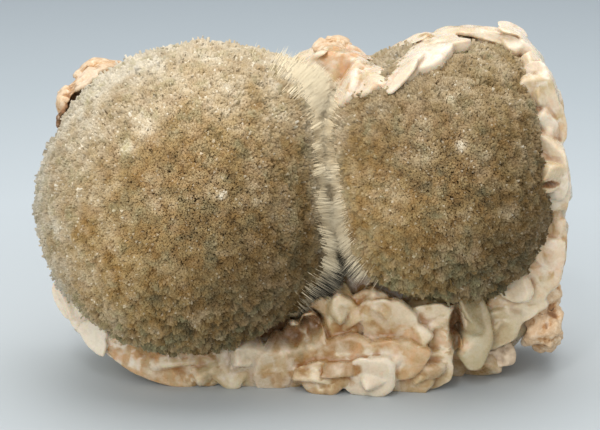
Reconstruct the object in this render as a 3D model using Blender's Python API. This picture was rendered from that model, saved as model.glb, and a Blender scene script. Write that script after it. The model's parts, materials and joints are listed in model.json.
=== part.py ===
"""Thomsonite on matrix: two balls of radiating needles, side by side in a crust of
flat stilbite crystals that grew over a piece of rock.

+Z up, X to the right, the front towards -Y. The specimen stands on its lower edge.
Dimensions are in millimetres, and finish() turns them into metres.
"""

import math
import random

import bmesh
import bpy
from mathutils import Matrix, Vector, noise

MM = 0.001

# The origin goes here, under the middle of the specimen's box
ORIGIN = Vector((1.3, -4.4, 0.0))

# Balls: needle tips lie at the radius, changed by lobes (towards, amount, width in degrees)
BALL_LEFT = {
    "centre": Vector((-27.5, 0.0, 45.6)),
    "radius": 39.5,
    "lobes": (
        ((0.64, 0.0, 0.77), 4.0, 28.0),
        ((-0.80, 0.0, 0.60), -1.0, 25.0),
        ((-0.80, 0.0, -0.60), 0.8, 25.0),
        ((0.60, -0.10, -0.79), -3.0, 24.0),
        ((0.86, -0.10, -0.50), 4.5, 16.0),
    ),
    "spines": 460,
    "seed": 3,
}
BALL_RIGHT = {
    "centre": Vector((35.5, 0.0, 53.3)),
    "radius": 33.5,
    "lobes": (
        ((0.55, 0.0, 0.83), 2.0, 22.0),
        ((1.00, -0.10, 0.15), -10.0, 30.0),
        ((0.35, 0.0, -0.94), 2.5, 20.0),
        ((-0.45, 0.0, -0.90), -3.5, 22.0),
        ((-0.85, -0.10, -0.50), 4.5, 17.0),
    ),
    "spines": 365,
    "seed": 8,
}
SPINE_HEIGHT = 3.2
SPINE_JITTER = 0.7
TUFT_RELIEF = 1.2
BALL_BACK_Y = 8.0
SEAM_FROM_LEFT_CENTRE = 35.2
GAP = 0.3
SOCKET_CLEARANCE = 0.6

# The specimen's outline, seen from the front (x, z), clockwise from the bottom left
OUTLINE = (
    (-27, -1), (-38, 2), (-50, 7.5), (-59.5, 16), (-64, 27), (-65.5, 45), (-63.5, 58), (-60, 71),
    (-50, 77), (-40, 75), (-22, 76), (-5, 78), (2, 81), (8, 84), (15, 82), (20, 78),
    (30, 86), (38, 88), (46, 88), (54, 87), (60, 82), (64, 72), (65, 60), (66, 48),
    (66, 35), (64, 22), (62, 9), (57, 3), (50, 1), (40, -1), (20, -1), (0, -1),
)
OUTLINE_STEP = 12.0

# Layers of the crust's core: depth along Y and share of the outline
CRUST_LAYERS = ((-4, 0.84), (-1, 0.94), (4, 0.985), (9, 0.99), (16, 0.97), (22, 0.93))

# Rock: the shares of the outline where its front sheet has points, on the contact with
# the crust, then the layers of its sides and back
CONTACT_Y = 12.5
CONTACT_GAP = 0.4
SHEET_SHARES = (0.3, 0.55, 0.78, 0.955)
ROCK_SIDE_AND_BACK = ((18, 0.975), (23, 0.93), (27, 0.78), (28, 0.52), (28.5, 0.26))
BACK_RELIEF = 3.0

# Lumps of the crust under the ledge blades: middle, and half sizes
LEDGE_LUMPS = (
    ((-53, 1, 12), (10, 6, 6)),
    ((-42, 0, 7), (11, 6, 6)),
    ((-30, -2, 8), (12, 7, 7)),
    ((-10, -4, 7), (14, 8, 7)),
    ((8, -5, 11), (13, 9, 10)),
    ((22, -6, 11), (14, 9, 10)),
    ((38, -3, 11), (13, 8, 9)),
    ((54, -1, 16), (9, 7, 9)),
    ((61, -1, 35), (6, 9, 11)),
    ((62, -1, 53), (5.5, 11, 12)),
    ((61, -1, 70), (6, 10, 12)),
    ((7, 4, 79), (8, 5, 6)),
    ((28, 4, 84), (9, 5, 5)),
)

# Blades: middle (x, y, z), length, width, thickness, then three angles in degrees:
# tilt turns the tip from up to the right, lean brings it forward, turn is about its length
BLADES = (
    # Ledge below the seam and the right ball
    (5.1, -10, 16.5, 12, 5.5, 2.6, 5, 10, 10),
    (11.1, -12, 18.4, 10, 7, 2.8, -20, 15, 0),
    (17.4, -11, 21.5, 8, 6, 3, 60, 0, 10),
    (22.1, -14, 18.6, 11, 8, 3.2, 80, 10, 0),
    (26.9, -15, 14.2, 9, 6, 3.2, 70, 10, -20),
    (33.4, -13, 18.2, 9.5, 6, 3, 75, 0, 10),
    (43.4, -11, 14.8, 13.5, 8, 2.6, 172, -15, 15),
    (54.4, -8, 20.4, 11, 7, 3.2, 80, 10, 0),
    (50.4, -9, 14.6, 9, 7, 3.2, 60, 0, -10),
    (34.5, -13, 12, 9, 6, 3, 85, 0, 10),
    (11.8, -15, 8.9, 11, 8, 3.4, 70, 15, 0),
    (23.2, -17, 8.4, 13.5, 8.5, 3.4, 80, 10, 0),
    (33.4, -14, 6.5, 9, 7.5, 3.4, 45, 0, 0),
    (40, -11, 5.5, 9, 5.5, 3, 10, 0, 20),
    (17.8, -18, 4.6, 10.5, 8.5, 3.2, 50, 20, -10),
    (28, -15, 3, 9, 6, 3.5, 95, 0, 10),
    (46, -7, 5, 9, 7, 4, 80, 0, 0),
    # Foot below the left ball
    (-58.5, -1, 19, 9, 8, 5, 135, 0, 10),
    (-52.6, -3, 11.8, 11, 8, 5, 120, 0, 0),
    (-45.5, -5, 8.8, 10, 7, 4.6, 125, 0, 10),
    (-36.6, -8, 6.6, 17, 9.5, 4.8, 122, -10, 0),
    (-32, -10, 7, 9, 8, 4, 40, 10, 0),
    (-25, -10, 4.2, 10, 7, 4, 100, 0, 0),
    (-18.1, -11, 4, 9, 7, 3.4, 170, 0, -10),
    (-12.9, -12, 6, 11, 7, 3.2, -5, 10, 10),
    (-6.4, -13, 5.6, 10.5, 7.5, 3.4, 10, 5, -10),
    (-1.4, -13, 8.2, 15, 6, 3.2, 5, 10, 20),
    (2.9, -13, 9.4, 17, 6, 3.2, -3, 12, -15),
    (6, -16, 3.5, 9, 7, 3.6, 85, 0, 10),
    (-17, -7, 10, 9, 7, 3.6, 0, 20, 0),
    (-9, -9, 12, 9, 7, 3.6, 15, 10, 0),
    (-3, -9, 16, 10, 6.5, 3.2, -10, 10, 0),
    # Right edge, standing forward past the side of the right ball
    (60.5, -8, 76.5, 12, 9.5, 5, 20, 10, -15),
    (60, -10, 66.6, 12, 10, 5, -10, 5, 10),
    (62, -11, 57, 15.5, 11, 5, 140, 0, -10),
    (63.5, -8, 48.3, 11, 8, 5, 15, 0, -20),
    (64, -8, 40.5, 12, 8.5, 5, 0, 5, 10),
    (60.5, -9, 30.9, 14.5, 12, 5, 45, 0, -5),
    (55.5, -8, 25.5, 10, 8, 4, 100, 0, 0),
    (65, -3, 71, 11, 8, 5, 5, 0, -60),
    (66, -3, 53, 12, 8, 5, -5, 0, -70),
    (65.5, -2, 36, 12, 8, 5, 10, 0, -60),
    # Top edge
    (27, 0, 85.5, 13, 8, 4.5, 60, 0, 0),
    (19.8, -2, 78.6, 10, 7, 3.6, 80, 10, 0),
    (4, 1, 80, 10, 7, 4.5, -20, 0, 0),
    (9.5, 1, 80.6, 10, 7, 4.5, 25, 0, 0),
    (13, 3, 82.5, 10, 6, 4.5, 80, 0, 0),
    (38, 7, 86.6, 9, 6, 4.5, 65, 0, 20),
    (45, 7.5, 87.6, 10, 6, 4.5, 85, 0, -20),
    (52, 7, 87.2, 10, 6.5, 4.5, 110, 0, 20),
    (58, 4, 83.6, 10, 7, 5, 130, 0, 0),
)
RIM_STEP = 19.0
RIM_SEED = 21

# Rock showing at the front: middle (x, z), half sizes across and up, and how far forward
KNOBS = (
    (62.0, 21.5, 4.6, 6.0, -6.0),
    (62.6, 12.5, 4.8, 6.0, -8.0),
    (49.5, 5.4, 5.2, 4.8, -9.0),
    (-57.5, 67.5, 5.2, 6.5, 1.0),
    (-53.0, 74.0, 5.5, 4.5, 3.0),
    (8.5, 81.3, 4.2, 3.0, 3.0),
)
KNOB_BACK_Y = 22.0
KNOB_POWER = 5
KNOB_ROUGHNESS = 0.35

# Neighbouring facets that differ by less than this are made one
FLAT_ANGLE = math.radians(0.3)

COLOURS = {
    "needles": ((0.42, 0.31, 0.19), 0.6),
    "stilbite": ((0.68, 0.50, 0.36), 0.4),
    "rock": ((0.50, 0.33, 0.20), 0.8),
}


def clear_scene():
    for existing in list(bpy.data.objects):
        bpy.data.objects.remove(existing, do_unlink=True)


def material(name):
    colour, roughness = COLOURS[name]
    made = bpy.data.materials.new(name)
    made.use_nodes = True
    shader = made.node_tree.nodes["Principled BSDF"]
    shader.inputs["Base Color"].default_value = (*colour, 1.0)
    shader.inputs["Roughness"].default_value = roughness
    shader.inputs["Metallic"].default_value = 0.0
    return made


def new_object(name, bm):
    """An object in the scene, of triangles, from a bmesh that is used up."""
    bmesh.ops.triangulate(bm, faces=bm.faces)
    bmesh.ops.recalc_face_normals(bm, faces=bm.faces)
    mesh = bpy.data.meshes.new(name)
    bm.to_mesh(mesh)
    bm.free()
    made = bpy.data.objects.new(name, mesh)
    bpy.context.scene.collection.objects.link(made)
    return made


def combine(target, operands, operation):
    """Apply a Boolean with each of some closed objects in turn, and remove them."""
    for operand in operands:
        step = target.modifiers.new("combine", "BOOLEAN")
        step.operation = operation
        step.solver = "EXACT"
        step.object = operand
        bpy.context.view_layer.update()
        graph = bpy.context.evaluated_depsgraph_get()
        result = bpy.data.meshes.new_from_object(target.evaluated_get(graph))
        target.modifiers.clear()
        target.data = result
        bpy.data.objects.remove(operand, do_unlink=True)


def box(name, low, high):
    bm = bmesh.new()
    bmesh.ops.create_cube(bm, size=1.0)
    size = Vector(high) - Vector(low)
    middle = (Vector(high) + Vector(low)) / 2
    bmesh.ops.transform(
        bm, verts=bm.verts, matrix=Matrix.Translation(middle) @ Matrix.Diagonal((*size, 1.0))
    )
    return new_object(name, bm)


def smooth_noise(place, size, seed):
    """Noise from about -1 to 1 at a place, with bumps of the given size."""
    return noise.noise(place / size + Vector((seed * 7.3, seed * 3.1, 0)))


def noise_offset(place, size):
    return Vector([smooth_noise(place, size, seed) for seed in (11, 12, 13)])


def lump(name, middle, half_sizes, bump=0.0, detail=1):
    """An ellipsoid with flat facets, its points pushed about by smooth noise."""
    bm = bmesh.new()
    bmesh.ops.create_icosphere(bm, subdivisions=detail, radius=1.0)
    for vert in bm.verts:
        place = Vector(a * b for a, b in zip(vert.co, half_sizes)) + Vector(middle)
        vert.co = place + bump * noise_offset(place, 5.0)
    return new_object(name, bm)


def even_directions(count):
    """Directions spread evenly over a sphere, along a golden-angle spiral."""
    golden_angle = math.pi * (3 - math.sqrt(5))
    for index in range(count):
        height = 1 - (2 * index + 1) / count
        across = math.sqrt(1 - height * height)
        angle = golden_angle * index
        yield Vector((across * math.cos(angle), across * math.sin(angle), height))


def ball_reach(ball, direction):
    """How far from a ball's centre its needle tips lie, in one direction."""
    reach = ball["radius"]
    for towards, amount, width in ball["lobes"]:
        off = math.degrees(direction.angle(Vector(towards)))
        reach += amount * math.exp(-((off / width) ** 2))
    return reach + TUFT_RELIEF * noise.noise(direction * 3.5)


def seam_matrix():
    """A frame on the plane where the balls meet, its X axis towards the right ball."""
    along = (BALL_RIGHT["centre"] - BALL_LEFT["centre"]).normalized()
    turned = Vector((1, 0, 0)).rotation_difference(along).to_matrix().to_4x4()
    return Matrix.Translation(BALL_LEFT["centre"] + along * SEAM_FROM_LEFT_CENTRE) @ turned


def spiny_ball(name, ball, side):
    """A ball of blunt spines, cut off at the back and where it meets its neighbour.

    The side is the sign of X, from the seam, where the other ball is.
    """
    rng = random.Random(ball["seed"])
    bm = bmesh.new()
    for direction in even_directions(ball["spines"]):
        wobble = Vector(rng.uniform(-1, 1) for _ in range(3)) * 0.02
        bm.verts.new((direction + wobble).normalized())
    bmesh.ops.convex_hull(bm, input=bm.verts)
    tips = set(bmesh.ops.poke(bm, faces=bm.faces)["verts"])
    for vert in bm.verts:
        direction = vert.co.normalized()
        reach = ball_reach(ball, direction)
        if vert in tips:
            reach -= rng.uniform(0, SPINE_JITTER)
        else:
            reach -= SPINE_HEIGHT
        vert.co = ball["centre"] + direction * reach
    made = new_object(name, bm)

    beyond = box("beyond the seam", (-GAP / 2, -100, -100), (100, 100, 100))
    if side < 0:
        beyond.data.transform(Matrix.Rotation(math.pi, 4, "Y"))
    beyond.data.transform(seam_matrix())
    behind = box("behind", (-100, BALL_BACK_Y, -100), (100, 100, 200))
    combine(made, [beyond, behind], "DIFFERENCE")
    return made


def socket(ball):
    """The hollow that a ball sits in: its outer form with a little clearance."""
    bm = bmesh.new()
    bmesh.ops.create_icosphere(bm, subdivisions=4, radius=1.0)
    for vert in bm.verts:
        direction = vert.co.normalized()
        reach = ball_reach(ball, direction) + SOCKET_CLEARANCE
        vert.co = ball["centre"] + direction * reach
    made = new_object("socket", bm)
    floor_y = BALL_BACK_Y + GAP
    combine(made, [box("floor", (-100, floor_y, -100), (100, 100, 200))], "DIFFERENCE")
    return made


def resample(outline, step):
    """Points along a closed outline, evenly spaced at about the given step."""
    points = [Vector(point) for point in outline]
    sides = list(zip(points, points[1:] + points[:1]))
    total = sum((b - a).length for a, b in sides)
    count = round(total / step)
    result = []
    walked = 0.0
    for a, b in sides:
        length = (b - a).length
        while len(result) < count and len(result) * total / count < walked + length:
            share = (len(result) * total / count - walked) / length
            result.append(a.lerp(b, share))
        walked += length
    return result


def close_end(bm, ring, hub):
    for i, vert in enumerate(ring):
        bm.faces.new((ring[i - 1], vert, hub))


def bridge(bm, rings):
    for ring, following in zip(rings, rings[1:]):
        for i, vert in enumerate(ring):
            bm.faces.new((ring[i - 1], vert, following[i], following[i - 1]))


def outline_and_middle():
    outline = resample(OUTLINE, OUTLINE_STEP)
    return outline, sum(outline, Vector((0, 0))) / len(outline)


def crust_core():
    """The body of the crust: it follows the outline, drawn in layer by layer along Y."""
    outline, middle = outline_and_middle()
    bm = bmesh.new()
    rings = []
    for y, share in CRUST_LAYERS:
        ring = []
        for point in outline:
            x, z = middle + (point - middle) * share
            place = Vector((x, y, z))
            ring.append(bm.verts.new(place + 1.2 * noise_offset(place, 9.0)))
        rings.append(ring)
    bridge(bm, rings)
    close_end(bm, rings[0], bm.verts.new((middle.x, CRUST_LAYERS[0][0], middle.y)))
    close_end(bm, rings[-1], bm.verts.new((middle.x, CRUST_LAYERS[-1][0], middle.y)))
    return new_object("stilbite_crust", bm)


def contact_depth(x, z):
    """Where the crust ends and the rock begins, along Y."""
    return CONTACT_Y + 1.5 * math.sin(x / 15 + 1) + 1.3 * math.cos(z / 12 + x / 40)


def contact_sheet(bm, forward):
    """The hub and rings of the contact, moved forward by a gap, as vertices."""
    outline, middle = outline_and_middle()
    hub = bm.verts.new((middle.x, contact_depth(*middle) - forward, middle.y))
    rings = []
    for share in SHEET_SHARES:
        ring = []
        for point in outline:
            x, z = middle + (point - middle) * share
            ring.append(bm.verts.new((x, contact_depth(x, z) - forward, z)))
        rings.append(ring)
    return hub, rings


def behind_contact():
    """Everything behind the crust: the contact sheet, widened and carried far back."""
    outline, middle = outline_and_middle()
    bm = bmesh.new()
    hub, rings = contact_sheet(bm, forward=CONTACT_GAP)
    for y in (CONTACT_Y - CONTACT_GAP, 60):
        wide = [middle + (point - middle) * 1.4 for point in outline]
        rings.append([bm.verts.new((x, y, z)) for x, z in wide])
    bridge(bm, rings)
    close_end(bm, rings[0], hub)
    close_end(bm, rings[-1], bm.verts.new((middle.x, 60, middle.y)))
    return new_object("behind the contact", bm)


def rock_body():
    """The rock: its front on the contact sheet, its sides and back rough."""
    outline, middle = outline_and_middle()
    bm = bmesh.new()
    hub, rings = contact_sheet(bm, forward=0.0)
    for y, share in ROCK_SIDE_AND_BACK:
        ring = []
        for point in outline:
            place = Vector((point.x, y, point.y))
            uneven = share + 0.035 * smooth_noise(place, 11.0, seed=4)
            x, z = middle + (point - middle) * uneven
            relief = BACK_RELIEF * smooth_noise(Vector((x, y, z)), 13.0, seed=5) * (y > 20)
            ring.append(bm.verts.new((x, y + relief, z)))
        rings.append(ring)
    bridge(bm, rings)
    close_end(bm, rings[0], hub)
    close_end(bm, rings[-1], bm.verts.new((middle.x, ROCK_SIDE_AND_BACK[-1][0], middle.y)))
    return new_object("rock_matrix", bm)


def knob(place, growth):
    """One forward swelling of the rock, grown on all sides by a little for its hollow."""
    x, z, across, up, front_y = place
    middle_y = (front_y + KNOB_BACK_Y) / 2
    half_depth = (KNOB_BACK_Y - front_y) / 2
    half_sizes = (across + growth, half_depth + growth, up + growth)
    bm = bmesh.new()
    bmesh.ops.create_icosphere(bm, subdivisions=2, radius=1.0)
    for vert in bm.verts:
        blocky = vert.co / sum(abs(a) ** KNOB_POWER for a in vert.co) ** (1 / KNOB_POWER)
        rough = 1 + KNOB_ROUGHNESS * noise.noise(vert.co * 2.5 + Vector((x, 0, z)))
        offset = Vector(a * b for a, b in zip(blocky, half_sizes))
        vert.co = Vector((x, middle_y, z)) + offset * rough
    return new_object("knob", bm)


def blade(long, wide, thick):
    """A flat crystal standing on Z: blunt root, narrow tip, its front face smaller."""
    half_outline = ((-0.5, 0.34), (0.12, 0.5), (0.5, 0.13))
    faces = ((-0.5, 0.74), (0.5, 1.0))
    bm = bmesh.new()
    rings = []
    for depth, share in faces:
        left = [(-half * wide * share, along * long * share) for along, half in half_outline]
        right = [(-x, z) for x, z in reversed(left)]
        rings.append([bm.verts.new((x, depth * thick, z)) for x, z in left + right])
    for ring, following in zip(rings, rings[1:]):
        for i, vert in enumerate(ring):
            bm.faces.new((ring[i - 1], vert, following[i], following[i - 1]))
    bm.faces.new(rings[0])
    bm.faces.new(rings[-1])
    return new_object("blade", bm)


def place_blade(entry):
    x, y, z, long, wide, thick, tilt, lean, turn = entry
    made = blade(long, wide, thick)
    turned = (
        Matrix.Rotation(math.radians(tilt), 4, "Y")
        @ Matrix.Rotation(math.radians(lean), 4, "X")
        @ Matrix.Rotation(math.radians(turn), 4, "Z")
    )
    made.data.transform(Matrix.Translation((x, y, z)) @ turned)
    return made


def rim_blades():
    """Blades around the whole rim, pointing outward, where no hand-placed ones are."""
    rng = random.Random(RIM_SEED)
    outline = resample(OUTLINE, RIM_STEP)
    _, middle = outline_and_middle()
    result = []
    for point in outline:
        outward = (point - middle).normalized()
        root = point - outward * 2.5
        tilt = math.degrees(math.atan2(outward.x, outward.y)) + rng.uniform(-35, 35)
        size = rng.uniform(8.0, 11.0)
        entry = (root.x, rng.uniform(3, 9), root.y, size, size * 0.75, 3.8)
        result.append(entry + (tilt, rng.uniform(-25, 25), rng.uniform(-60, 60)))
    return result


def keep_largest_piece(target):
    """Drop the chips that a cut has parted from the body."""
    bm = bmesh.new()
    bm.from_mesh(target.data)
    unseen = set(bm.verts)
    pieces = []
    while unseen:
        start = unseen.pop()
        piece = {start}
        edge_of_search = [start]
        while edge_of_search:
            vert = edge_of_search.pop()
            for edge in vert.link_edges:
                other = edge.other_vert(vert)
                if other in unseen:
                    unseen.discard(other)
                    piece.add(other)
                    edge_of_search.append(other)
        pieces.append(piece)
    largest = max(pieces, key=len)
    chips = [vert for vert in bm.verts if vert not in largest]
    bmesh.ops.delete(bm, geom=chips, context="VERTS")
    bm.to_mesh(target.data)
    bm.free()


def stilbite_crust():
    crust = crust_core()
    growths = [lump("lump", middle, half, bump=1.0) for middle, half in LEDGE_LUMPS]
    growths += [place_blade(entry) for entry in BLADES]
    growths += [place_blade(entry) for entry in rim_blades()]
    combine(crust, growths, "UNION")
    cuts = [socket(BALL_LEFT), socket(BALL_RIGHT), behind_contact()]
    cuts += [knob(place, growth=0.45) for place in KNOBS]
    cuts.append(box("below", (-100, -100, -50), (100, 100, 0)))
    combine(crust, cuts, "DIFFERENCE")
    keep_largest_piece(crust)
    return crust


def rock_matrix():
    rock = rock_body()
    combine(rock, [knob(place, growth=0.0) for place in KNOBS], "UNION")
    below = box("below", (-100, -100, -50), (100, 100, 0))
    combine(rock, [socket(BALL_LEFT), below], "DIFFERENCE")
    keep_largest_piece(rock)
    return rock


def finish(target, material_name):
    """Triangles only, in metres, with the origin under the middle of the box."""
    bm = bmesh.new()
    bm.from_mesh(target.data)
    bmesh.ops.dissolve_limit(bm, angle_limit=FLAT_ANGLE, verts=bm.verts, edges=bm.edges)
    bmesh.ops.triangulate(bm, faces=bm.faces)
    bm.to_mesh(target.data)
    bm.free()
    target.data.transform(Matrix.Scale(MM, 4) @ Matrix.Translation(-ORIGIN))
    target.data.materials.clear()
    target.data.materials.append(material(material_name))


def main():
    clear_scene()
    finish(rock_matrix(), "rock")
    finish(stilbite_crust(), "stilbite")
    finish(spiny_ball("thomsonite_ball_left", BALL_LEFT, side=1), "needles")
    finish(spiny_ball("thomsonite_ball_right", BALL_RIGHT, side=-1), "needles")


main()
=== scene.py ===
"""Looks of the thomsonite on matrix: needles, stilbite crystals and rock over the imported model.

Shapes are worked out in millimetres, with the front towards -Y and the specimen standing on
Z = 0, in the frame that the part was drawn in. in_frame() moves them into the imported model's.
"""

import json
import math
from itertools import product

import bmesh
import bpy
import numpy as np
from mathutils import Matrix, Vector, noise
from mathutils.kdtree import KDTree

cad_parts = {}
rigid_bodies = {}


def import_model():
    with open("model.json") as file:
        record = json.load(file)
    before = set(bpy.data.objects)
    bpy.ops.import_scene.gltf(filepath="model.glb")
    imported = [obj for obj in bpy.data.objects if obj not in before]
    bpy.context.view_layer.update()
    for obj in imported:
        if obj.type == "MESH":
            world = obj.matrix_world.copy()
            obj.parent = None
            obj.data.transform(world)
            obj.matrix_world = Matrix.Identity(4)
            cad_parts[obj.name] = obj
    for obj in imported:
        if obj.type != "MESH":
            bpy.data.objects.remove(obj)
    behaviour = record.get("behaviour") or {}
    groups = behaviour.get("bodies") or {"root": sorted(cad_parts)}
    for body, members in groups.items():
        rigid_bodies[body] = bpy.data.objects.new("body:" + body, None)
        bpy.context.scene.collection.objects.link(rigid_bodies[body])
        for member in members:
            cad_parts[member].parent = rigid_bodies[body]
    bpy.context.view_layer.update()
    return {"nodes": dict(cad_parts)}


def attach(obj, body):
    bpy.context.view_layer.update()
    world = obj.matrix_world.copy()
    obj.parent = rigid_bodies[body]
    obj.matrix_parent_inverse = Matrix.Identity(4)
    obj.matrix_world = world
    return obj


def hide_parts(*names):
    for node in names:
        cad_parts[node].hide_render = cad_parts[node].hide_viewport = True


MM = 0.001
ORIGIN = np.array((1.3, -4.4, 0.0))

# Balls: needle tips lie at the radius, changed by lobes (towards, amount, width in degrees).
# Each ball's painted glints are (towards, width in degrees, amount): spots where needles are
# painted paler and brighter as highlights. The foot and the crown are the low and the high end
# of the seam, and to_seam is how far the seam is from the centre.
BALLS = {
    "left": {
        "node": "thomsonite_ball_left",
        "centre": np.array((-27.5, 0, 45.6)),
        "radius": 39.5,
        "lobes": (
            ((0.64, 0, 0.77), 4, 28),
            ((-0.80, 0, 0.60), -1, 25),
            ((-0.80, 0, -0.60), 0.8, 25),
            ((0.60, -0.10, -0.79), -3, 24),
            ((0.86, -0.10, -0.50), 4.5, 16),
        ),
        "foot": (0.86, -0.25, -0.46),
        "crown": (0.70, -0.12, 0.71),
        "painted_glints": (
            ((-15, -32, 22.3), 2.6, 1),
            ((-10.5, -30, 27.2), 6, 0.55),
            ((9.2, -37, 11), 1.6, 0.9),
        ),
        "side": 1,
        "to_seam": 35.2,
        "bands": 3,
        "seed": 5,
    },
    "right": {
        "node": "thomsonite_ball_right",
        "centre": np.array((35.5, 0, 53.3)),
        "radius": 33.5,
        "lobes": (
            ((0.55, 0, 0.83), 2, 22),
            ((1.00, -0.10, 0.15), -10, 30),
            ((0.35, 0, -0.94), 2.5, 20),
            ((-0.45, 0, -0.90), -3.5, 22),
            ((-0.85, -0.10, -0.50), 4.5, 17),
        ),
        "foot": (-0.74, -0.30, -0.60),
        "crown": (-0.86, -0.10, 0.50),
        "painted_glints": (
            ((0.8, -23.6, 23.8), 2, 0.9),
            ((2.5, -30, 13.7), 2.4, 0.8),
        ),
        "side": -1,
        "to_seam": 28.3,
        "bands": 2,
        "seed": 9,
    },
}
SURFACE_RELIEF = 1.2
RELIEF_PER_TURN = 3.5
BALL_BACK_Y = 8.0

# Needles, in millimetres; sheen is how far a needle is lit like a round one
NEEDLE_SPACING = 0.40
NEEDLE_WIDTH = (0.48, 0.84)
NEEDLE_LENGTH = 8.0
NEEDLE_SHEEN = 0.35
NEEDLE_LEAN = 0.10
UNEVEN = 0.11
STRAY_SHARE = 0.06
STRAY_LEAN = 2.5
TALL_SHARE = 0.04
TALL_EXTRA = (0.3, 1.0)
# Needles stand lower in a few pits, at the foot of the seam and beside the seam
PIT_SPACING = 2.6
PIT_EVERY = 8
PIT_REACH = 0.30
PIT_DEPTH = 2.6
FOOT_DIP = 2.4
FOOT_WIDTH = 13.0
SEAM_DIP = 1.5
SEAM_SIDE = 5.0
LONGEST_CUT = 4.5
# Tufts of two sizes, deeper below
TUFT_SPACING = 3.0
TUFT_DOME = 0.5
TUFT_LUCK = 0.22
SMALL_TUFT_SPACING = 1.35
SMALL_TUFT_DOME = 0.32
SMALL_TUFT_LUCK = 0.12
TUFT_EDGE = 0.62
TUFT_SPLAY = 0.08
LOW_TUFT_DEPTH = 2.0
CORE_SHARE = 0.925
# Long needles of the seam; widths are in degrees
SEAM_CANDIDATES = 210000
SEAM_WIDTH = 11.0
SEAM_END_WIDTH = 9.0
SEAM_SHEEN = 0.7
SEAM_NEEDLE_WIDTH = (0.20, 0.34)
SEAM_NEEDLE_ROOT = 4.5
SEAM_STRIPES = (0.06, 0.85)

# Outline of the crust, seen from the front (x, z)
OUTLINE = np.array((
    (-27, -1), (-38, 2), (-50, 7.5), (-59.5, 16), (-64, 27), (-65.5, 45), (-63.5, 58), (-60, 71),
    (-50, 77), (-40, 75), (-22, 76), (-5, 78), (2, 81), (8, 84), (15, 82), (20, 78),
    (30, 86), (38, 88), (46, 88), (54, 87), (60, 82), (64, 72), (65, 60), (66, 48),
    (66, 35), (64, 22), (62, 9), (57, 3), (50, 1), (40, -1), (20, -1), (0, -1),
))

# Crystals of the crust: middle (x, z), length, width, thickness, and the angle in degrees
# that turns the tip from up to the right
BLADES = (
    # Ledge below the seam and the right ball
    (5.1, 16.5, 12, 5.5, 2.6, 5), (11.1, 18.4, 10, 7, 2.8, -20), (17.4, 21.5, 8, 6, 3, 60),
    (22.1, 18.6, 11, 8, 3.2, 80), (26.9, 14.2, 9, 6, 3.2, 70), (33.4, 18.2, 9.5, 6, 3, 75),
    (43.4, 14.8, 13.5, 8, 2.6, 172), (54.4, 20.4, 11, 7, 3.2, 80), (50.4, 14.6, 9, 7, 3.2, 60),
    (34.5, 12, 9, 6, 3, 85), (11.8, 8.9, 11, 8, 3.4, 70), (23.2, 8.4, 13.5, 8.5, 3.4, 80),
    (33.4, 6.5, 9, 7.5, 3.4, 45), (40, 5.5, 9, 5.5, 3, 10), (17.8, 4.6, 10.5, 8.5, 3.2, 50),
    (28, 3, 9, 6, 3.5, 95), (46, 5, 9, 7, 4, 80),
    # Foot below the left ball
    (-58.5, 19, 9, 8, 5, 135), (-52.6, 11.8, 11, 8, 5, 120), (-45.5, 8.8, 10, 7, 4.6, 125),
    (-36.6, 6.6, 17, 9.5, 4.8, 122), (-32, 7, 9, 8, 4, 40), (-25, 4.2, 10, 7, 4, 100),
    (-18.1, 4, 9, 7, 3.4, 170), (-12.9, 6, 11, 7, 3.2, -5), (-6.4, 5.6, 10.5, 7.5, 3.4, 10),
    (-1.4, 8.2, 15, 6, 3.2, 5), (2.9, 9.4, 17, 6, 3.2, -3), (6, 3.5, 9, 7, 3.6, 85),
    (-17, 10, 9, 7, 3.6, 0), (-9, 12, 9, 7, 3.6, 15), (-3, 16, 10, 6.5, 3.2, -10),
    # Right edge, standing forward past the side of the right ball
    (59, 75, 11, 9, 5, 20), (58.8, 66.6, 11, 9.5, 5, -10), (60, 57, 14, 10, 5, 140),
    (61.5, 48.3, 10, 8, 5, 15), (62, 40.5, 11, 8, 5, 0), (59.5, 30.9, 13, 11, 5, 45),
    (55.5, 25.5, 10, 8, 4, 100), (62.5, 71, 10, 8, 5, 5), (63.5, 53, 11, 8, 5, -5),
    (63.5, 36, 11, 8, 5, 10),
    # Top edge
    (27, 83.5, 12, 7, 4.5, 60), (20.5, 77.6, 9, 6, 3.6, 80), (4, 77.5, 8, 6, 4.5, -20),
    (13, 79.5, 8, 5, 4.5, 80), (38, 84.6, 9, 6, 4.5, 65), (45, 85.4, 10, 6, 4.5, 85),
    (52, 84.6, 10, 6, 4.5, 110), (57, 81, 9, 6.5, 5, 130),
)

# Crystals that reach over the right ball, in the same way
OVER_BALL = (
    (37, 86.2, 10, 7, 3.5, 100), (31.5, 84.5, 14, 9.5, 4, 58), (25, 81.8, 13, 10, 4, 15),
    (18.5, 79, 12, 9, 4, 72), (12.5, 76, 10, 8.5, 4.5, 10), (33, 86.8, 12, 9, 4, 75),
    (26.5, 85.2, 13, 10, 4, 50), (20, 82, 12, 10, 4, 35), (14, 79, 11, 9, 4, 60),
)

# Rock that stays bare: middle (x, z) and how far from it no crystal grows
BARE_ROCK = (
    (62, 21.5, 6.5), (62.6, 12.5, 7), (50.5, 4.4, 5.5), (-58.5, 67.5, 7.5), (-54.5, 74, 7.5),
    (8.5, 84.5, 5),
)
# Deep gaps between crystals: middle (x, z), half sizes and depth
GAPS = (
    (39.4, 15.5, 1.7, 5.5, 7), (-5, 14.5, 9, 3.2, 6), (3, 17.5, 3, 2.6, 6), (61, 54, 2.4, 0.9, 3),
)

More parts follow.
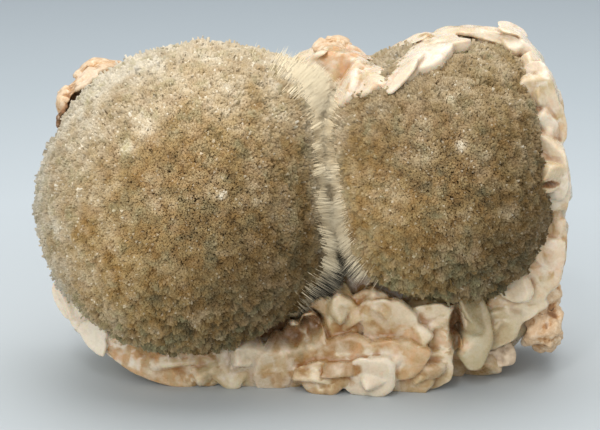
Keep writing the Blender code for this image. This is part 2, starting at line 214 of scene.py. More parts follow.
# Crystals of another colour: middle (x, z), how far around it, and how much
SPOTS = {
    "green": (
        (43.4, 14.5, 4.5, 0.6), (50.5, 15, 4.5, 0.35), (63, 47.5, 5, 0.4), (-3, 17, 7, 0.4),
        (-17, 4, 6, 0.25), (12, 22, 3, 0.3),
    ),
    "orange": (
        (12, 83, 6, 0.8), (17, 80, 3.5, 0.6), (23, 9, 5, 0.5), (36, 12, 5, 0.5), (64, 66, 6, 0.5),
        (62, 36, 6, 0.4), (-40, 8, 7, 0.6),
    ),
    "white": (
        (18, 4.5, 6, 0.65), (-47, 14, 8, 0.7), (-12, 4.5, 6, 0.45), (24, 21, 4, 0.3),
        (-57, 22, 6, 0.4),
    ),
}

# Crust: sizes in millimetres, the rise of a crystal in degrees, bumps as (size, amount)
STILBITE_TRIANGLES = 185000
BODY_VOXEL = 0.7
CRUST_VOXEL = 0.40
RIM_PRESS = 0.65
CREASE_FILL = 1.6
CRUST_BUMPS = ((4.0, 0.12), (1.6, 0.07))
RIDGES = 0.08
BLADE_GROWTH = (1.35, 1.35, 1.25)
BLADE_PROUD = 0.8
OVER_BALL_PROUD = 2.0
LAYERED_SHARE = 0.6
CORNER_CUT = 0.16
FRONT_START = -60.0
FRONT_END = 14.0
SCALE_TRIES = 12000
SCALE_SPACING = 5.2
SCALE_LENGTH = (9.0, 13.5)
SCALE_RISE = (6.0, 18.0)
SCALE_MIDDLE = np.array((0.0, 10.0, 42.0))

# Rock
ROCK_TRIANGLES = 54000
ROCK_BUMPS = ((17.0, 1.2), (7.0, 0.9), (3.2, 0.6), (1.6, 0.45))
KNOB_PRESS = 0.30
KNOBS_ABOVE = 60.0
BARE_ROCK_BACK = 20.0

# Lights: place in millimetres, size in metres, power in watts
LIGHTS = {
    "key": ((20, 60, 1200), 1.0, 10.2),
    "front fill": ((-300, -900, 420), 0.9, 5.2),
    "glints": ((-150, -550, 750), 0.08, 0.9),
}
LIGHT_TARGET = (0.0, 0.0, 40.0)
WORLD_COLOUR = (0.93, 0.97, 1.0, 1.0)
WORLD_STRENGTH = 0.66
FLOOR_SIZE = 8.0
CAMERA_PLACE = (0.0, -493.0, 173.8)
CAMERA_TARGET = (0.0, -10.0, 44.4)
CAMERA_LENS = 120.0
SENSOR_WIDTH = 36.0


def in_frame(points):
    return (np.asarray(points, dtype=float) - ORIGIN) * MM


def unit(vectors):
    vectors = np.asarray(vectors, dtype=float)
    return vectors / np.linalg.norm(vectors, axis=-1, keepdims=True)


def clamp(values):
    return np.clip(values, 0, 1)


def in_turn(parts):
    """The vectors of several arrays, one from each in turn."""
    return np.stack(parts, axis=1).reshape(-1, 3)


def value_noise(points, size, seed):
    """Smooth noise from -1 to 1 at each point, with bumps of the given size."""
    scaled = np.asarray(points) / size + seed * 3.71
    cell = np.floor(scaled).astype(np.int64)
    part = scaled - cell
    part = part * part * (3 - 2 * part)
    total = np.zeros(len(scaled))
    for corner in product((0, 1), repeat=3):
        x, y, z = (cell + corner).T
        # Large odd numbers stir the bits, so that near cells get unlike values
        mixed = (x * 73856093) ^ (y * 19349663) ^ (z * 83492791) ^ (seed * 2654435)
        mixed = ((mixed ^ (mixed >> 13)) * 1274126177) & 0x7FFFFFFF
        value = ((mixed ^ (mixed >> 15)) & 0xFFFF) / 0xFFFF
        weight = np.prod(np.where(np.array(corner) == 1, part, 1 - part), axis=1)
        total += weight * value
    return total * 2 - 1


def nearest(points, centres):
    """For each point, the index of the nearest centre and its distance."""
    tree = KDTree(len(centres))
    for index, centre in enumerate(centres):
        tree.insert(centre, index)
    tree.balance()
    found = [tree.find(point)[1:] for point in points]
    index, distance = zip(*found)
    return np.array(index), np.array(distance)


def inside_outline(x, z, share):
    """Which points are inside the crust's outline, drawn in to a share of its size."""
    middle = OUTLINE.mean(axis=0)
    corners = middle + (OUTLINE - middle) * share
    inside = np.zeros(len(x), dtype=bool)
    for (x0, z0), (x1, z1) in zip(corners, np.roll(corners, -1, axis=0)):
        if z0 == z1:
            continue
        crosses = (z0 > z) != (z1 > z)
        inside ^= crosses & (x < (x1 - x0) * (z - z0) / (z1 - z0) + x0)
    return inside


def linked(name, data):
    """A new object in the scene."""
    made = bpy.data.objects.new(name, data)
    bpy.context.scene.collection.objects.link(made)
    return made


def mesh_object(name, verts, faces, values=None, normals=None):
    """An object from points in millimetres and triangles, with per-point values and normals."""
    mesh = bpy.data.meshes.new(name)
    mesh.vertices.add(len(verts))
    mesh.vertices.foreach_set("co", in_frame(verts).astype(np.float32).ravel())
    mesh.loops.add(len(faces) * 3)
    mesh.loops.foreach_set("vertex_index", np.asarray(faces, dtype=np.int32).ravel())
    mesh.polygons.add(len(faces))
    mesh.polygons.foreach_set("loop_start", np.arange(len(faces), dtype=np.int32) * 3)
    mesh.polygons.foreach_set("use_smooth", np.full(len(faces), normals is not None))
    mesh.update(calc_edges=True)
    if normals is not None:
        mesh.normals_split_custom_set_from_vertices(unit(normals).tolist())
    made = linked(name, mesh)
    save_values(made, values or {})
    return made


# Balls of needles


def towards(directions, target, width):
    """1 for directions at a target, falling off with the angle from it in degrees."""
    off = np.degrees(np.arccos(np.clip(directions @ unit(target), -1, 1)))
    return np.exp(-((off / width) ** 2))


def ball_reach(ball, directions):
    """How far from a ball's centre its needle tips lie, in some directions."""
    reach = np.full(len(directions), ball["radius"])
    for target, amount, width in ball["lobes"]:
        reach += amount * towards(directions, target, width)
    bumps = [noise.noise(Vector(direction) * RELIEF_PER_TURN) for direction in directions]
    return reach + SURFACE_RELIEF * np.array(bumps)


def seam():
    """A point on the plane where the balls meet, and the direction towards the right ball."""
    left, right = BALLS["left"]["centre"], BALLS["right"]["centre"]
    along = unit(right - left)
    return left + along * BALLS["left"]["to_seam"], along


def even_directions(count, scatter, rng):
    """Directions spread over a sphere, along a golden-angle spiral, scattered a little."""
    index = np.arange(count)
    height = 1 - (2 * index + 1) / count
    across = np.sqrt(1 - height * height)
    angle = np.pi * (3 - np.sqrt(5)) * index
    directions = np.stack((across * np.cos(angle), across * np.sin(angle), height), axis=1)
    return unit(directions + rng.normal(scale=scatter, size=directions.shape))


def spread(ball, spacing, scatter, rng):
    """Directions at a spacing in millimetres on a ball, leaving out what faces far back."""
    area = 4 * math.pi * ball["radius"] ** 2
    count = int(area / (0.866 * spacing**2))
    directions = even_directions(count, scatter * spacing / ball["radius"], rng)
    return directions[directions[:, 1] < 0.42]


def on_sphere(ball, directions):
    return ball["centre"] + directions * ball["radius"]


def where_needles_grow(points):
    """Which places on a ball are open: not behind it, and not where the crust holds it."""
    held = inside_outline(points[:, 0], points[:, 2], 0.985) & (points[:, 1] > 5.0)
    behind = points[:, 1] > BALL_BACK_Y + 1.5
    return ~(held | behind)


def dome(points, centres, spacing, rng):
    """How high each place is in its tuft (0 to 1), the way out of it, and the tuft's luck."""
    index, distance = nearest(points, centres)
    share = distance / (spacing * TUFT_EDGE)
    rise = clamp(1 - share * share)
    away = (points - centres[index]) / (spacing * TUFT_EDGE)
    return rise, away, rng.normal(size=len(centres))[index]


def needles(ball):
    """The directions, tips and looks of a ball's needles, as a dict of arrays."""
    rng = np.random.default_rng(ball["seed"])
    directions = spread(ball, NEEDLE_SPACING, 0.30, rng)
    reach = ball_reach(ball, directions)
    points = ball["centre"] + directions * reach[:, None]
    keep = where_needles_grow(points)
    directions, points = directions[keep], points[keep]

    big_centres = on_sphere(ball, spread(ball, TUFT_SPACING, 0.25, rng))
    small_centres = on_sphere(ball, spread(ball, SMALL_TUFT_SPACING, 0.25, rng))
    on_ball = on_sphere(ball, directions)
    big, big_away, big_luck = dome(on_ball, big_centres, TUFT_SPACING, rng)
    small, small_away, small_luck = dome(on_ball, small_centres, SMALL_TUFT_SPACING, rng)

    low = clamp(-directions[:, 2] * 1.8 - 0.45)
    depth_of_tufts = 1 + LOW_TUFT_DEPTH * low
    count = len(points)
    height = ((big - 0.75) * TUFT_DOME + (small - 0.7) * SMALL_TUFT_DOME) * depth_of_tufts
    height += TUFT_LUCK * big_luck + SMALL_TUFT_LUCK * small_luck
    height += rng.normal(scale=UNEVEN, size=count)
    height += np.where(rng.random(count) < TALL_SHARE, rng.uniform(*TALL_EXTRA, count), 0)
    pits, away_from_pit = nearest(on_ball, on_sphere(ball, spread(ball, PIT_SPACING, 0.9, rng)))
    in_pit = (away_from_pit < PIT_REACH) & (pits % PIT_EVERY == PIT_EVERY - 1)
    height -= np.where(in_pit, PIT_DEPTH, 0)
    height -= FOOT_DIP * towards(directions, ball["foot"], FOOT_WIDTH)
    splay = TUFT_SPLAY * big_away + 0.5 * TUFT_SPLAY * small_away
    lean = rng.normal(scale=NEEDLE_LEAN, size=(count, 3))
    lean[rng.random(count) < STRAY_SHARE] *= STRAY_LEAN
    axis = unit(directions + splay + lean)
    tips = points + axis * height[:, None]

    point, along = seam()
    along = along * ball["side"]
    beyond = (tips - point) @ along - rng.uniform(-1.0, 0.6, count)
    facing = np.clip(axis @ along, 0.05, 1)
    back = np.where(beyond > 0, beyond / facing, 0)
    tips = tips - axis * back[:, None]
    keep = back < LONGEST_CUT
    seam_near = clamp(1 + ((points - point) @ along) / SEAM_SIDE)
    tips -= axis * (SEAM_DIP * seam_near**2)[:, None]

    made = {
        "axis": axis,
        "tips": tips,
        "depth": -height + back * 0.5,
        "seam": seam_near,
        "direction": directions,
        "sunk": 1 - big,
        "luck": rng.random(count),
    }
    return {key: value[keep] for key, value in made.items()}


def sideways(axis, rng):
    """Two directions across each needle, at right angles."""
    across = unit(np.cross(axis, unit(rng.normal(size=axis.shape))))
    return across, np.cross(axis, across)


def three_corners(sides, wide, thick):
    """From a needle's axis to its corners; wide and thick come with the share of each."""
    for turn in (0, 2 * math.pi / 3, 4 * math.pi / 3):
        offset = sides[0] * (wide[0] * math.cos(turn) * wide[1])[:, None]
        yield offset + sides[1] * (thick[0] * math.sin(turn) * thick[1])[:, None]


def needles_mesh(name, points, normals, pattern, values):
    """One piece of needles, each with four points and the four triangles of the pattern."""
    first = np.arange(len(points[0]))[:, None, None] * 4
    faces = (first + np.array(pattern)).reshape(-1, 3)
    return mesh_object(name, in_turn(points), faces, values, in_turn(normals))


def needle_piece(name, some, rng):
    """One piece: each needle narrows to its root, and has a slanted end of three corners."""
    axis, tips = some["axis"], some["tips"]
    count = len(tips)
    sides = sideways(axis, rng)
    wide = rng.uniform(*NEEDLE_WIDTH, count)
    thick = wide * rng.uniform(0.5, 1.0, count)
    points = [tips - axis * NEEDLE_LENGTH]
    normals = [some["direction"]]
    for offset in three_corners(sides, (wide, 0.6), (thick, 0.6)):
        drop = wide * rng.uniform(0.0, 0.6, count)
        points.append(tips + offset - axis * drop[:, None])
        normals.append(some["direction"] + NEEDLE_SHEEN * unit(offset))
    depth = np.repeat(some["depth"], 4)
    depth[::4] += NEEDLE_LENGTH
    values = {"depth": depth}
    for key in ("seam", "tone_and_painted_light", "pale_and_painted_highlight", "warm", "green"):
        values[key] = np.repeat(some[key], 4)
    pattern = ((0, 2, 1), (0, 3, 2), (0, 1, 3), (1, 2, 3))
    return needles_mesh(name, points, normals, pattern, values)


def colour_zones(ball, some):
    """Set where the needles are paler, warmer, greener or darker, by their place: partly
    their own colour, partly painted highlight and painted shade.
    """
    direction = some["direction"]
    place = some["tips"]
    x, y, z = direction.T
    patches = value_noise(place, 5.0, 3) + 0.9 * value_noise(place, 2.0, 4)
    mottle = value_noise(place, 2.8, 5) + 0.8 * value_noise(place, 1.4, 7)
    left_ball = ball["side"] > 0
    # Paler towards the top and the outer limb: partly the needles' own paler colour, partly
    # painted highlight where the light falls from above
    limb = clamp((1 + y) * 1.25)
    outer = clamp(-1.25 * x) if left_ball else 0.3 * clamp(-x)
    upper = (0.75 if left_ball else 0.40) * np.clip(z, -0.2, 1)
    pale_and_painted_highlight = 0.06 + 0.95 * limb * clamp(upper + outer) + 0.26 * patches
    # Painted glints: a few spots of needles painted paler as highlights
    for target, width, amount in ball["painted_glints"]:
        pale_and_painted_highlight = pale_and_painted_highlight + amount * towards(direction, target, width)
    some["pale_and_painted_highlight"] = clamp(pale_and_painted_highlight)
    # Lower right: warmer and darker, partly the needles' own deeper brown, partly painted shade
    # where the light falls away
    lower_right = clamp(0.75 * x - 0.6 * z + 0.15)
    some["warm"] = clamp(0.42 + 0.55 * lower_right - 0.35 * limb + 1.0 * mottle)
    # Olive patches all over, and olive, darker needles towards the bottom as painted shade
    low = clamp(-z * 1.5 - 0.45)
    olive = value_noise(place, 3.4, 6) + 0.6 * value_noise(place, 1.3, 9)
    some["green"] = clamp(low * (0.7 + 0.4 * olive) + 0.75 * olive - 0.12)
    # Painted shade: darker where the needles face the front, on the upper front, between tufts and
    # more so low down, on the right ball's top and on its left side; the lower right is darker
    # partly as the needles' own deeper brown
    top = 0.0 if left_ball else 0.26
    painted_shade_and_tint = 0.15 + 0.52 * lower_right + 0.28 * y * y - 0.12 * patches
    painted_shade_and_tint -= 0.22 * clamp(z) * y
    painted_shade_and_tint += (0.09 + 0.30 * low) * (some["sunk"] - 0.5)
    painted_shade_and_tint += top * clamp(z) + (0 if left_ball else 0.10 * clamp(-x + 0.1))
    some["tone_and_painted_light"] = (1 - np.clip(painted_shade_and_tint, 0, 0.75)) * (0.82 + 0.18 * some["luck"])
    # Painted glints: the same spots painted brighter
    for target, width, amount in ball["painted_glints"]:
        some["tone_and_painted_light"] += 0.5 * amount * towards(direction, target, width)
    strong = some["luck"] > 0.97
    some["pale_and_painted_highlight"][strong] = clamp(some["pale_and_painted_highlight"][strong] + 0.5)
    some["tone_and_painted_light"][strong] = np.clip(some["tone_and_painted_light"][strong] * 1.25, 0, 1.2)


def seam_needles(ball, rng):
    """Longer, finer needles in bundles along the seam, at its foot and at its top."""
    point, along = seam()
    along = along * ball["side"]
    directions = unit(rng.normal(size=(SEAM_CANDIDATES, 3)) * 0.6 + along)
    off_axis = np.degrees(np.arccos(np.clip(directions @ along, -1, 1)))
    at_seam = math.degrees(math.acos(ball["to_seam"] / ball["radius"]))
    beside = (off_axis - at_seam) / SEAM_WIDTH
    foot = towards(directions, ball["foot"], SEAM_END_WIDTH)
    crown = towards(directions, ball["crown"], SEAM_END_WIDTH)
    surface = ball["centre"] + directions * ball_reach(ball, directions)[:, None]
    flat = surface - ((surface - point) @ along)[:, None] * along
    bundle = value_noise(flat, 2.6, 71) + 0.5 * value_noise(flat, 1.1, 72)
    bundle = clamp(0.62 + 0.9 * bundle)
    chance = np.where((beside > -0.15) & (beside < 1), 1 - np.abs(beside), 0)
    chance = chance * (0.35 + 0.65 * bundle) + 0.5 * foot + 0.9 * crown
    keep = (rng.random(len(chance)) < chance) & (directions[:, 1] < 0.25)
    directions, surface, flat = directions[keep], surface[keep], flat[keep]
    foot, crown, bundle = foot[keep], crown[keep], bundle[keep]
    count = len(directions)
    sway = np.stack([value_noise(flat, 3.2, seed) for seed in (73, 74, 75)], axis=1)
    axis = unit(directions + 0.10 * sway + rng.normal(scale=0.03, size=(count, 3)))
    to_plane = ((point - surface) @ along) / np.clip(axis @ along, 0.2, 1)
    out = np.minimum(to_plane + rng.uniform(-0.5, 2.0, count), rng.uniform(0.6, 4.2, count))
    out = np.maximum(out * (0.3 + 0.7 * bundle), -0.8)
    out = np.where(foot > 0.4, np.clip(out, 0.5, 3.8), out)
    out = np.where(crown > 0.3, rng.uniform(1.5, 7.0, count) * crown, out)
    thick = np.where(foot > 0.4, 1.5, 1.0)
    return {
        "axis": axis,
        "tips": surface + axis * out[:, None],
        "length": SEAM_NEEDLE_ROOT + out,
        "wide": rng.uniform(*SEAM_NEEDLE_WIDTH, count) * thick,
        "white": clamp(0.1 + crown * 1.5 + foot * 0.6 + 0.75 * bundle),
        "bundle": clamp(bundle + crown),
        "foot": foot,
        "direction": unit(directions + (0, -1.0, 0.6)),
    }


def long_needle_piece(name, some, rng):
    """One piece of three-sided needles that narrow to their points, seen along their sides."""
    axis, tips, wide = some["axis"], some["tips"], some["wide"]
    count = len(tips)
    points, normals = [], []
    for offset in three_corners(sideways(axis, rng), (wide, 0.8), (wide, 0.6)):
        points.append(tips + offset - axis * some["length"][:, None])
        normals.append(some["direction"] + SEAM_SHEEN * unit(offset))
    points.append(tips)
    normals.append(some["direction"])
    root = 3.6 - 1.8 * some["white"]
    depth = np.stack((root, root, root, np.full(count, -1.0)), axis=1).reshape(-1)
    stripes = np.where(some["foot"] > 0.3, rng.choice(SEAM_STRIPES, count), 1.0)
    # Brighter in the bundles, darker and striped at the foot, and darker towards the bottom
    tone_and_painted_light = (0.85 + 0.5 * some["bundle"] - 0.8 * some["foot"]) * stripes
    tone_and_painted_light *= rng.uniform(0.8, 1.0, count) * (1 - 0.35 * clamp((34 - tips[:, 2]) / 12))
    values = {
        "depth": depth,
        "seam": np.repeat(some["white"], 4),
        "tone_and_painted_light": np.repeat(tone_and_painted_light, 4),
        "pale_and_painted_highlight": np.full(count * 4, 0.5),
        "warm": np.repeat(1 - some["bundle"], 4),
        "green": np.full(count * 4, 0.25),
    }
    pattern = ((0, 1, 3), (1, 2, 3), (2, 0, 3), (0, 2, 1))
    return needles_mesh(name, points, normals, pattern, values)


def ball_pieces(name, material, core_material):
    ball = BALLS[name]
    rng = np.random.default_rng(ball["seed"] + 100)
    some = needles(ball)
    colour_zones(ball, some)
    order = np.argsort(some["tips"][:, 2])
    made = []
    for index, chosen in enumerate(np.array_split(order, ball["bands"])):
        part = {key: value[chosen] for key, value in some.items()}
        piece = needle_piece(f"needles_{name}_{index + 1}", part, rng)
        piece.data.materials.append(material)
        made.append(piece)

    long_ones = long_needle_piece(f"seam_needles_{name}", seam_needles(ball, rng), rng)
    long_ones.data.materials.append(material)
    made.append(long_ones)

    core = packed_copy(ball["node"], f"needle_roots_{name}")
    centre = Matrix.Translation(Vector(in_frame(ball["centre"])))
    core.data.transform(centre @ Matrix.Scale(CORE_SHARE, 4) @ centre.inverted())
    core.data.materials.append(core_material)
    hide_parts(ball["node"])
    made.append(core)
    for piece in made:
        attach(piece, "root")
    return made


# Stilbite crystals


def rounded(corners):
    """A closed outline with its corners cut."""
    following = np.roll(corners, -1, axis=0)
    near = corners * (1 - CORNER_CUT) + following * CORNER_CUT
    far = corners * CORNER_CUT + following * (1 - CORNER_CUT)
    return np.stack((near, far), axis=1).reshape(-1, 2)


def stack_of_rings(rings, front, back):
    """A closed body over outlines of equal count, with a point at each end."""
    count = len(rings[0])
    verts = np.concatenate((front[None], *rings, back[None]))
    here = np.arange(count)
    after = np.roll(here, -1)
    faces = [np.stack((np.zeros(count, int), 1 + here, 1 + after), axis=1)]
    for level in range(len(rings) - 1):
        low, high = 1 + level * count, 1 + (level + 1) * count
        faces.append(np.stack((low + here, high + here, high + after), axis=1))
        faces.append(np.stack((low + here, high + after, low + after), axis=1))
    top = 1 + (len(rings) - 1) * count
    last = np.full(count, len(verts) - 1)
    faces.append(np.stack((top + after, top + here, last), axis=1))
    return verts, np.concatenate(faces)


def plate(long, wide, thick, rng):
    """A flat crystal standing on Z, its face towards -Y and bevelled most at the tip."""
    corners = np.array((
        (-0.28, -0.50), (-0.52, -0.22), (-0.46, 0.22), (-0.14, 0.52),
        (0.12, 0.50), (0.50, 0.16), (0.46, -0.26), (0.24, -0.50),
    ))
    corners = (corners + rng.uniform(-0.08, 0.08, corners.shape)) * (wide, long)
    if rng.random() < 0.5:
        corners = corners[::-1] * (-1, 1)
    ring = rounded(corners)
    face = ring * (rng.uniform(0.88, 0.97), 0.96)
    face[:, 1] = np.where(face[:, 1] > 0, face[:, 1] * rng.uniform(0.72, 0.94), face[:, 1])
    rings = []
    for outline, depth in ((face, -0.5), (ring, -0.34), (ring, 0.1), (ring * 0.9, 0.5)):
        rings.append(np.insert(outline, 1, depth * thick, axis=1))
    half = np.array((0.0, 0.5 * thick, 0.0))
    return stack_of_rings(rings, -half, half)


def crystal(long, wide, thick, rng):
    """A flat crystal, often with a thin second layer over part of its face."""
    verts, faces = plate(long, wide, thick, rng)
    if rng.random() < LAYERED_SHARE:
        layer, layer_faces = plate(long * rng.uniform(0.8, 0.95), wide * 0.75, thick * 0.3, rng)
        shift = (rng.choice((-1, 1)) * 0.16 * wide, -0.42 * thick, -rng.uniform(0.04, 0.14) * long)
        faces = np.concatenate((faces, layer_faces + len(verts)))
        verts = np.concatenate((verts, layer + shift))
    return verts, faces


class Growth:
    """Many crystals collected into the arrays of one mesh, with each one's frame and tint."""

    def __init__(self):
        self.verts, self.faces, self.owners, self.count = [], [], [], 0
        self.middles, self.frames, self.tints, self.lengths = [], [], [], []

    def add(self, verts, faces, matrix, middle, tint, length):
        self.verts.append(verts @ matrix.T + middle)
        self.faces.append(faces + self.count)
        self.owners.append(np.full(len(verts), len(self.middles)))
        self.middles.append(middle)
        self.frames.append(matrix)
        self.tints.append(tint)
        self.lengths.append(length)
        self.count += len(verts)

    def near(self, point, distance):
        """Whether a crystal's middle lies near a point, seen from the front."""
        offsets = np.array(self.middles)[:, (0, 2)] - (point[0], point[2])
        return np.linalg.norm(offsets, axis=1).min() < distance

    def made(self, name):
        return mesh_object(name, np.concatenate(self.verts), np.concatenate(self.faces))

    def seen_from(self, points):
        """For points on the surface, their crystal, and where they are in its own frame."""
        index, _ = nearest(points, np.concatenate(self.verts))
        owner = np.concatenate(self.owners)[index]
        offset = points - np.array(self.middles)[owner]
        return owner, np.einsum("ij,ijk->ik", offset, np.array(self.frames)[owner])


def drawn_in(point, tip, long):
    """A crystal's place and length, moved back so that its tip stays inside the outline."""
    for _ in range(7):
        end = point + tip * long * 0.5
        if inside_outline(end[:1], end[2:], 1.0)[0]:
            return point, long
        point = point - tip * 0.9
        long *= 0.94
    return point, long


def lay(growth, point, outward, tip, size, proud, tint, rng):
    """A crystal lying on the surface like a scale: its root sunk in and its tip raised."""
    long, wide, thick = size
    outward = unit(outward)
    tip = unit(tip - outward * (tip @ outward))
    if outward[1] < -0.5:
        point, long = drawn_in(point, tip, long)
    rise = math.radians(rng.uniform(*SCALE_RISE))
    roll = rng.uniform(-0.10, 0.10)
    along = tip * math.cos(rise) + outward * math.sin(rise)
    facing = outward * math.cos(rise) - tip * math.sin(rise)
    facing = unit(facing + roll * np.cross(along, facing))
    across = np.cross(-facing, along)
    matrix = np.stack((across, -facing, along), axis=1)
    verts, faces = crystal(long, wide, thick, rng)
    growth.add(verts, faces, matrix, point + facing * (proud - 0.5 * thick), tint, long)


def crystal_tint_and_shade(x, z, rng):
    """From 0 for deep peach to 1 for white: the right edge and the top are paler, and the
    ledge under the balls keeps the deep peach as painted shade.
    """
    paler = 0.22 * (x > 57) + 0.12 * (x > 47) + 0.45 * (z > 78) + 0.55 * (x < -42)
    return float(clamp(0.18 + paler + rng.normal(scale=0.18)))


def on_bare_rock(x, z):
    return any(math.hypot(x - mx, z - mz) < reach for mx, mz, reach in BARE_ROCK)


def front_surface(base, x, z):
    """The place on the front of the crust behind a point of the front view, and its normal."""
    hits = []
    for dx, dz in ((0, 0), (2, 0), (-2, 0), (0, 2), (0, -2)):
        start = Vector(in_frame((x + dx, FRONT_START, z + dz)))
        hit, place_hit, normal, _ = base.ray_cast(start, Vector((0, 1, 0)))
        if hit and place_hit.y < in_frame((0, FRONT_END, 0))[1]:
            hits.append((place_hit.y / MM + ORIGIN[1], np.array(normal)))
    if not hits:
        return None, None
    depth = sorted(depth for depth, _ in hits)[len(hits) // 2]
    normal = unit(np.mean([normal for _, normal in hits], axis=0))
    return np.array((x, depth, z)), normal


def pointing(tilt):
    """The direction in the front view that is turned from up to the right, in degrees."""
    angle = math.radians(tilt)
    return np.array((math.sin(angle), 0.0, math.cos(angle)))


def table_crystals(growth, base, rng):
    """The crystals of the tables, laid on the front of the crust and on the right ball."""
    for x, z, *size, tilt in BLADES:
        point, normal = front_surface(base, x, z)
        if point is None or on_bare_rock(x, z):
            continue
        outward = normal * 0.35 + (0.0, -1.0, 0.0) + rng.normal(scale=0.10, size=3)
        size = np.multiply(size, BLADE_GROWTH)
        tint = crystal_tint_and_shade(x, z, rng)
        lay(growth, point, outward, pointing(tilt), size, BLADE_PROUD, tint, rng)
    ball = BALLS["right"]
    for x, z, *size, tilt in OVER_BALL:
        offset = np.array((x, 0.0, z)) - ball["centre"]
        offset[1] = -math.sqrt(max(ball["radius"] ** 2 - offset @ offset, 4.0))
        point = ball["centre"] + offset
        tint = rng.uniform(0.5, 1.0)
        lay(growth, point, offset, pointing(tilt), size, OVER_BALL_PROUD, tint, rng)


def surface_samples(source, count, rng):
    """Places and outward directions spread over an object, in millimetres."""
    mesh = source.data
    mesh.calc_loop_triangles()
    corners = np.array([tri.vertices[:] for tri in mesh.loop_triangles])
    verts = points_of(source)
    a, b, c = verts[corners[:, 0]], verts[corners[:, 1]], verts[corners[:, 2]]
    cross = np.cross(b - a, c - a)
    area = np.linalg.norm(cross, axis=1)
    picked = rng.choice(len(area), size=count, p=area / area.sum())
    u, v = rng.random((2, count, 1))
    over = (u + v) > 1
    u, v = np.where(over, 1 - u, u), np.where(over, 1 - v, v)
    points = a[picked] + u * (b - a)[picked] + v * (c - a)[picked]
    return points, cross[picked] / area[picked][:, None]


def clear_of_balls(points, distance):
    clear = np.ones(len(points), dtype=bool)
    for ball in BALLS.values():
        offset = points - ball["centre"]
        far = np.linalg.norm(offset, axis=1)
        clear &= far > ball_reach(ball, unit(offset)) + distance
    return clear


def scales(growth, base, rng):
    """Crystals over the rest of the open crust, pointing away from the balls and upward."""
    points, normals = surface_samples(base, SCALE_TRIES, rng)
    open_air = clear_of_balls(points, 1.0) & (points[:, 1] < 12.0) & (points[:, 2] > 1.5)
    placed = []
    for point, normal in zip(points[open_air], normals[open_air]):
        if placed and np.min(np.linalg.norm(np.array(placed) - point, axis=1)) < SCALE_SPACING:
            continue
        to_front = normal[1] < -0.4
        if on_bare_rock(point[0], point[2]) or (to_front and growth.near(point, 4.0)):
            continue
        placed.append(point)
        long = rng.uniform(*SCALE_LENGTH)
        size = (long, long * rng.uniform(0.6, 0.85), long * 0.32)
        tip = unit(point - SCALE_MIDDLE) + rng.normal(scale=0.6, size=3)
        outward = normal + (0, -0.5, 0) + rng.normal(scale=0.10, size=3)
        tint = crystal_tint_and_shade(point[0], point[2], rng)
        lay(growth, point, outward, tip, size, 0.6 if to_front else -0.3, tint, rng)


def press_rim(piece, strength, above=-1.0):
    """Pull back a share of what stands out beyond the outline seen from the front."""
    middle = OUTLINE.mean(axis=0)
    corners = OUTLINE - middle
    turns = np.arctan2(corners[:, 1], corners[:, 0])
    order = np.argsort(turns)
    places = points_of(piece)
    offset = places[:, (0, 2)] - middle
    turn = np.arctan2(offset[:, 1], offset[:, 0])
    edge = np.interp(turn, turns[order], np.hypot(*corners.T)[order], period=2 * math.pi)
    far = np.hypot(*offset.T)
    back = strength * np.clip(far - edge, 0, None) / far * (places[:, 2] > above)
    places[:, (0, 2)] -= offset * back[:, None]
    move_points(piece, places)


def press_gaps(piece):
    """Push the front of the crust back where a gap between crystals is; returns how much,
    which the stilbite material paints dark as shade.
    """
    places = points_of(piece)
    share = np.zeros(len(places))
    ragged = 0.35 * value_noise(places, 2.0, 81) + 0.2 * value_noise(places, 0.9, 82)
    for x, z, wide, high, depth in GAPS:
        far = ((places[:, 0] - x) / wide) ** 2 + ((places[:, 2] - z) / high) ** 2
        far = np.clip(far + ragged, 0, None)
        here = np.where(places[:, 1] < 2.0, np.exp(-far * far), 0)
        places[:, 1] += depth * here
        share = np.maximum(share, here)
    move_points(piece, places)
    return share


def near_spots(middles, spots):
    """How much of a colour crystals have, from 0 to 1, by their middles."""
    share = np.zeros(len(middles))
    for x, z, reach, amount in spots:
        far = np.hypot(middles[:, 0] - x, middles[:, 2] - z)
        share = np.maximum(share, np.where(far < reach, amount, 0))
    return share


def striations(owner, local):
    """Fine ridges along each crystal, from -1 to 1, at points in its own frame."""
    fan = local[:, 0] * (1 - 0.02 * local[:, 2])
    places = np.stack((fan, local[:, 2] * 0.10, owner * 7.3), axis=1)
    return 0.6 * value_noise(places, 1.1, 61) + 0.4 * value_noise(places, 0.55, 62)


def stilbite_piece(material):
    """The crust and its crystals grown into one piece."""
    rng = np.random.default_rng(31)
    crust = packed_copy("stilbite_crust", "stilbite")
    for swell in (CREASE_FILL, -CREASE_FILL):
        even_mesh(crust, BODY_VOXEL)
        push_out(crust, np.full(len(crust.data.vertices), swell))
    crystals = Growth()
    table_crystals(crystals, crust, rng)
    scales(crystals, crust, rng)
    crust.data = joined_mesh(crust, crystals.made("crystals"))
    even_mesh(crust, CRUST_VOXEL)
    press_rim(crust, RIM_PRESS)
    roughen(crust, CRUST_BUMPS, seed=40)
    thinned(crust, STILBITE_TRIANGLES)
    gap = press_gaps(crust)
    owner, local = crystals.seen_from(points_of(crust))
    ridges = striations(owner, local)
    push_out(crust, RIDGES * ridges)
    save_values(crust, {
        "tint": np.array(crystals.tints)[owner],
        "along": np.clip(2 * local[:, 2] / np.array(crystals.lengths)[owner], -1, 1),
        "hollow": hollows(crust, 10),
        "gap": gap,
        "ridges": ridges,
    })
    for look, spots in SPOTS.items():
        save_values(crust, {look: near_spots(np.array(crystals.middles), spots)[owner]})
    crust.data.materials.append(material)
    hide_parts("stilbite_crust")
    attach(crust, "root")


# Bodies of the crust and the rock


def packed_copy(node, name):
    """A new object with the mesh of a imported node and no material."""
    made = linked(name, frame["nodes"][node].data.copy())
    made.data.name = name
    made.data.materials.clear()
    return made


